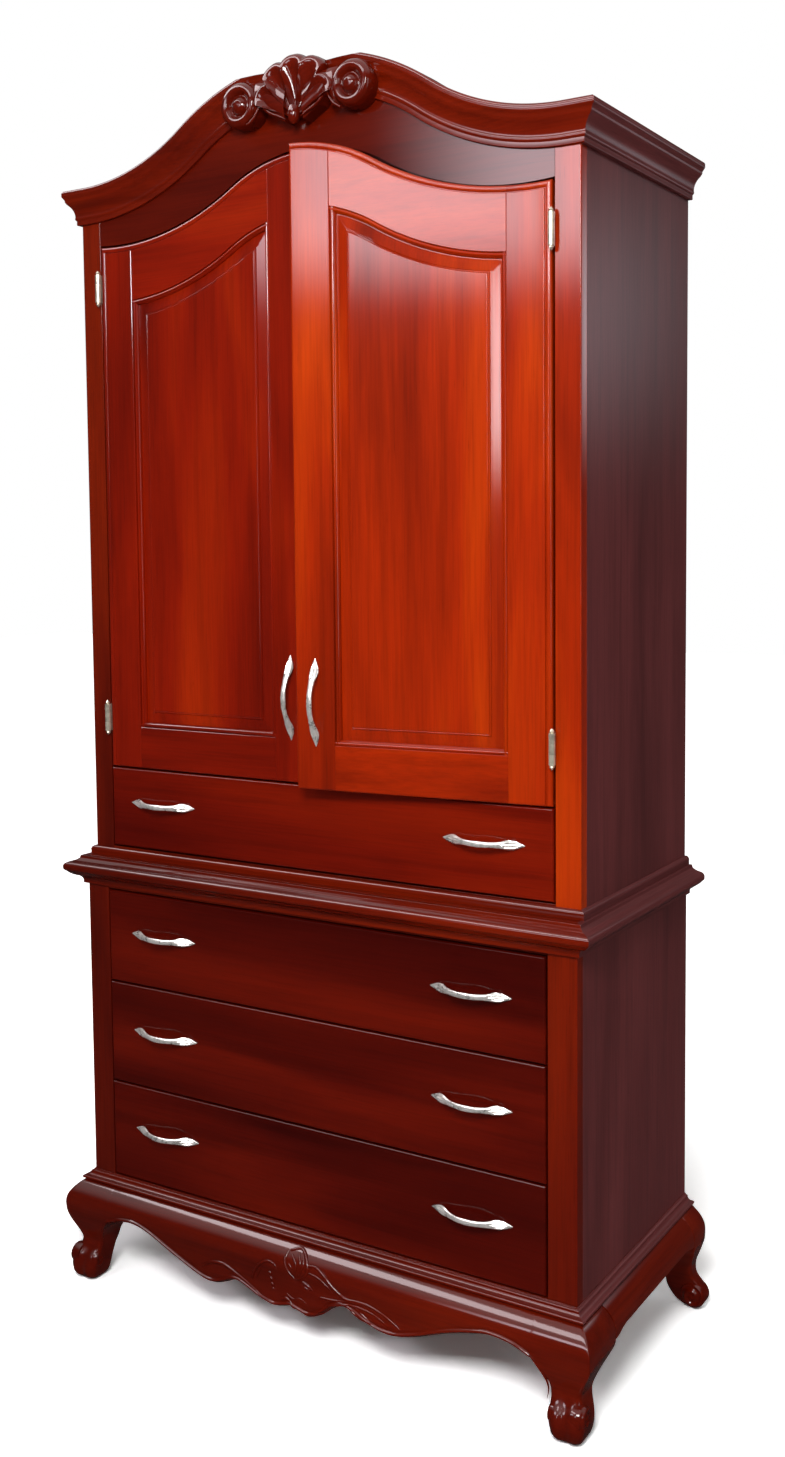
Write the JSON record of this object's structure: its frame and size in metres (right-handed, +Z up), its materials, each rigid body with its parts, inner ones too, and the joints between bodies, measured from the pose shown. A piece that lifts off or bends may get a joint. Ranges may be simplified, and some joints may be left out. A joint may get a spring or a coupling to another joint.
{
  "type": "chifforobe",
  "caption": "Two-part wooden cabinet on short cabriole legs, with wide drawers below and a hanging space behind two arched panel doors under a shaped cornice.",
  "frame": {"origin": "on the floor, in the middle of the cabinet's width and depth", "axes": "+Z up, the doors and drawers face -Y, +X to the right of someone who faces them"},
  "size_m": [1.104, 0.5345, 2.2083],
  "materials": {
    "mahogany": "gloss lacquer",
    "mahogany_doors": "gloss lacquer",
    "mahogany_drawers": "gloss lacquer",
    "mahogany_sides": "satin lacquer",
    "inner_wood": "stained",
    "drawer_wood": "satin",
    "panel_board": "matte",
    "pull_metal": "polished",
    "hinge_metal": "polished",
    "rail_metal": "polished",
    "catch_plastic": "matte"
  },
  "bodies": {
    "root": {"back_apron": "inner_wood", "base_moulding": "mahogany", "corner_blocks": "inner_wood", "cornice_front": "mahogany", "cornice_returns": "mahogany", "crest_carving": "mahogany", "door_catches": "catch_plastic", "drawer_runners": "inner_wood", "frieze_rail": "mahogany", "front_apron": "mahogany", "front_legs": "mahogany", "hanging_rail": "rail_metal", "hinge_frame_leaves": "hinge_metal", "hinge_pins": "hinge_metal", "lower_back": "panel_board", "lower_boards": "mahogany", "lower_left_side": "mahogany_sides", "lower_left_stile": "mahogany", "lower_rails": "mahogany", "lower_right_side": "mahogany_sides", "lower_right_stile": "mahogany", "rear_legs": "mahogany", "side_aprons": "mahogany", "upper_back": "panel_board", "upper_bead": "mahogany", "upper_boards": "inner_wood", "upper_left_side": "mahogany_sides", "upper_left_stile": "mahogany", "upper_rails": "mahogany", "upper_right_side": "mahogany_sides", "upper_right_stile": "mahogany", "waist_moulding": "mahogany"},
    "left_door": {"left_door_bottom_rail": "mahogany_doors", "left_door_hinge_leaves": "hinge_metal", "left_door_panel": "mahogany_doors", "left_door_pull": "pull_metal", "left_door_stiles": "mahogany_doors", "left_door_top_rail": "mahogany_doors"},
    "right_door": {"right_door_bottom_rail": "mahogany_doors", "right_door_hinge_leaves": "hinge_metal", "right_door_panel": "mahogany_doors", "right_door_pull": "pull_metal", "right_door_stiles": "mahogany_doors", "right_door_top_rail": "mahogany_doors"},
    "upper_drawer": {"upper_drawer_bottom": "panel_board", "upper_drawer_box": "drawer_wood", "upper_drawer_front": "mahogany_drawers", "upper_drawer_pulls": "pull_metal"},
    "top_drawer": {"top_drawer_bottom": "panel_board", "top_drawer_box": "drawer_wood", "top_drawer_front": "mahogany_drawers", "top_drawer_pulls": "pull_metal"},
    "middle_drawer": {"middle_drawer_bottom": "panel_board", "middle_drawer_box": "drawer_wood", "middle_drawer_front": "mahogany_drawers", "middle_drawer_pulls": "pull_metal"},
    "bottom_drawer": {"bottom_drawer_bottom": "panel_board", "bottom_drawer_box": "drawer_wood", "bottom_drawer_front": "mahogany_drawers", "bottom_drawer_pulls": "pull_metal"}
  },
  "joints": [
    {"name": "left_door_swing", "type": "hinge", "parent": "root", "child": "left_door", "pos_m": [-0.4555, -0.20162, 1.46775], "axis": [0, 0, -1], "range_deg": [0, 160]},
    {"name": "right_door_swing", "type": "hinge", "parent": "root", "child": "right_door", "pos_m": [0.4555, -0.20162, 1.46775], "axis": [0, 0, 1], "range_deg": [-6, 154]},
    {"name": "upper_drawer_slide", "type": "slide", "parent": "root", "child": "upper_drawer", "axis": [0, -1, 0], "range_m": [0, 0.32]},
    {"name": "top_drawer_slide", "type": "slide", "parent": "root", "child": "top_drawer", "axis": [0, -1, 0], "range_m": [0, 0.34]},
    {"name": "middle_drawer_slide", "type": "slide", "parent": "root", "child": "middle_drawer", "axis": [0, -1, 0], "range_m": [0, 0.34]},
    {"name": "bottom_drawer_slide", "type": "slide", "parent": "root", "child": "bottom_drawer", "axis": [0, -1, 0], "range_m": [0, 0.34]}
  ]
}
